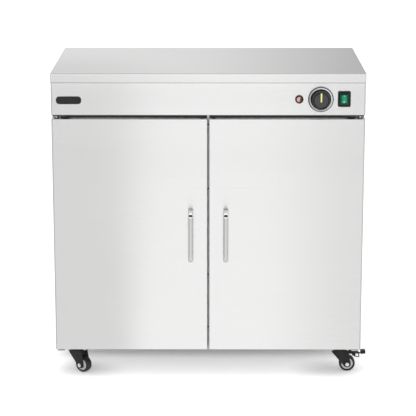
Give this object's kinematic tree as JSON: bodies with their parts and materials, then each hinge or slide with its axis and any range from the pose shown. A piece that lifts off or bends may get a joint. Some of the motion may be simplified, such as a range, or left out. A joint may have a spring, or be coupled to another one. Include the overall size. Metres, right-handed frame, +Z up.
{
  "type": "plate warmer",
  "caption": "Stainless plate warming cabinet with hinged doors over heated shelves, a control fascia with knob, lamp and switch, a flat worktop and swivel casters.",
  "frame": {"origin": "on the floor, under the middle of the bounding box", "axes": "+X to the right along the front, +Y from the doors towards the back, +Z up"},
  "size_m": [0.8874, 0.516, 0.86],
  "materials": {
    "satin_steel": "fine satin brushed stainless steel",
    "inner_steel": "plain mill finish stainless steel",
    "zinc_steel": "bright zinc plated steel",
    "bright_steel": "polished stainless steel",
    "chrome_ring": "polished chrome plate",
    "black_steel": "black powder coat",
    "element_steel": "heat-darkened steel sheath",
    "insulation": "mineral wool",
    "seal_grey": "light grey seal strip",
    "magnet_black": "dark magnet in a plain case",
    "knob_grey": "dark grey moulded plastic",
    "pointer_yellow": "pale yellow inlay",
    "lamp_black": "black moulded plastic",
    "lens_amber": "amber lens",
    "switch_black": "black moulded plastic",
    "rocker_green": "green rocker lit from inside",
    "boot_clear": "clear splash boot",
    "plate_black": "plain black plate with no lettering",
    "nylon_black": "black nylon",
    "terminal_white": "off-white moulded block",
    "thermostat_body": "pale moulded body with a metal capillary",
    "wheel_rubber": "black tyre on a light grey hub"
  },
  "bodies": {
    "cabinet": {"worktop": "satin_steel", "control_fascia": "satin_steel", "left_side_panel": "satin_steel", "right_side_panel": "satin_steel", "back_panel": "satin_steel", "base_tray": "inner_steel", "header_rail": "black_steel", "center_mullion": "inner_steel", "mullion_seal": "seal_grey", "door_magnets": "magnet_black", "chamber_floor": "inner_steel", "chamber_liner": "inner_steel", "chamber_ceiling": "inner_steel", "insulation_slabs": "insulation", "heater_deck": "inner_steel", "lower_shelf": "inner_steel", "upper_shelf": "inner_steel", "shelf_supports": "inner_steel", "heating_element": "element_steel", "element_clips": "inner_steel", "thermostat": "thermostat_body", "knob_bezel": "chrome_ring", "lamp_holder": "lamp_black", "lamp_lens": "lens_amber", "switch_housing": "switch_black", "switch_boot": "boot_clear", "nameplate": "plate_black", "cable_gland": "nylon_black", "terminal_block": "terminal_white", "hinge_plates": "black_steel", "hinge_pins": "zinc_steel", "cabinet_fasteners": "zinc_steel", "caster_plates": "black_steel", "caster_fasteners": "zinc_steel"},
    "left_door": {"left_door_skin": "satin_steel", "left_door_liner": "inner_steel", "left_door_bushes": "nylon_black", "left_handle": "bright_steel"},
    "right_door": {"right_door_skin": "satin_steel", "right_door_liner": "inner_steel", "right_door_bushes": "nylon_black", "right_handle": "bright_steel"},
    "knob": {"knob": "knob_grey", "knob_pointer": "pointer_yellow", "thermostat_spindle": "zinc_steel"},
    "rocker": {"switch_rocker": "rocker_green"},
    "front_left_fork": {"front_left_fork": "black_steel", "front_left_axle": "zinc_steel"},
    "front_left_wheel": {"front_left_wheel": "wheel_rubber"},
    "front_right_fork": {"front_right_fork": "black_steel", "front_right_axle": "zinc_steel"},
    "front_right_wheel": {"front_right_wheel": "wheel_rubber"},
    "rear_left_fork": {"rear_left_fork": "black_steel", "rear_left_axle": "zinc_steel"},
    "rear_left_wheel": {"rear_left_wheel": "wheel_rubber"},
    "rear_right_fork": {"rear_right_fork": "black_steel", "rear_right_axle": "zinc_steel"},
    "rear_right_wheel": {"rear_right_wheel": "wheel_rubber"},
    "front_right_brake": {"front_right_brake": "black_steel"},
    "rear_left_brake": {"rear_left_brake": "black_steel"}
  },
  "joints": [
    {"name": "left_door_hinge", "type": "hinge", "parent": "cabinet", "child": "left_door", "pos_m": [-0.4105, -0.208, 0.40925], "axis": [0, 0, -1], "range_deg": [0, 110]},
    {"name": "right_door_hinge", "type": "hinge", "parent": "cabinet", "child": "right_door", "pos_m": [0.4105, -0.208, 0.40925], "axis": [0, 0, 1], "range_deg": [0, 110]},
    {"name": "knob_turn", "type": "hinge", "parent": "cabinet", "child": "knob", "pos_m": [0.303, -0.23, 0.79], "axis": [0, 1, 0], "range_deg": [0, 270]},
    {"name": "rocker_tilt", "type": "hinge", "parent": "cabinet", "child": "rocker", "pos_m": [0.366, -0.2215, 0.791], "axis": [-1, 0, 0], "range_deg": [0, 16]},
    {"name": "front_left_swivel", "type": "hinge", "parent": "cabinet", "child": "front_left_fork", "pos_m": [-0.37, -0.152, 0.0655], "axis": [0, 0, 1], "continuous": true},
    {"name": "front_left_roll", "type": "hinge", "parent": "front_left_fork", "child": "front_left_wheel", "pos_m": [-0.35198, -0.16462, 0.0225], "axis": [-0.5736, -0.8192, 0], "continuous": true},
    {"name": "front_right_swivel", "type": "hinge", "parent": "cabinet", "child": "front_right_fork", "pos_m": [0.37, -0.152, 0.0655], "axis": [0, 0, 1], "continuous": true},
    {"name": "front_right_roll", "type": "hinge", "parent": "front_right_fork", "child": "front_right_wheel", "pos_m": [0.392, -0.152, 0.0225], "axis": [0, -1, 0], "continuous": true},
    {"name": "rear_left_swivel", "type": "hinge", "parent": "cabinet", "child": "rear_left_fork", "pos_m": [-0.37, 0.182, 0.0655], "axis": [0, 0, 1], "continuous": true},
    {"name": "rear_left_roll", "type": "hinge", "parent": "rear_left_fork", "child": "rear_left_wheel", "pos_m": [-0.392, 0.182, 0.0225], "axis": [0, 1, 0], "continuous": true},
    {"name": "rear_right_swivel", "type": "hinge", "parent": "cabinet", "child": "rear_right_fork", "pos_m": [0.37, 0.182, 0.0655], "axis": [0, 0, 1], "continuous": true},
    {"name": "rear_right_roll", "type": "hinge", "parent": "rear_right_fork", "child": "rear_right_wheel", "pos_m": [0.35095, 0.193, 0.0225], "axis": [0.5, 0.866, 0], "continuous": true},
    {"name": "front_right_brake_press", "type": "hinge", "parent": "front_right_fork", "child": "front_right_brake", "pos_m": [0.384, -0.152, 0.057], "axis": [0, 1, 0], "range_deg": [0, 8]},
    {"name": "rear_left_brake_press", "type": "hinge", "parent": "rear_left_fork", "child": "rear_left_brake", "pos_m": [-0.384, 0.182, 0.057], "axis": [0, -1, 0], "range_deg": [0, 8]}
  ]
}
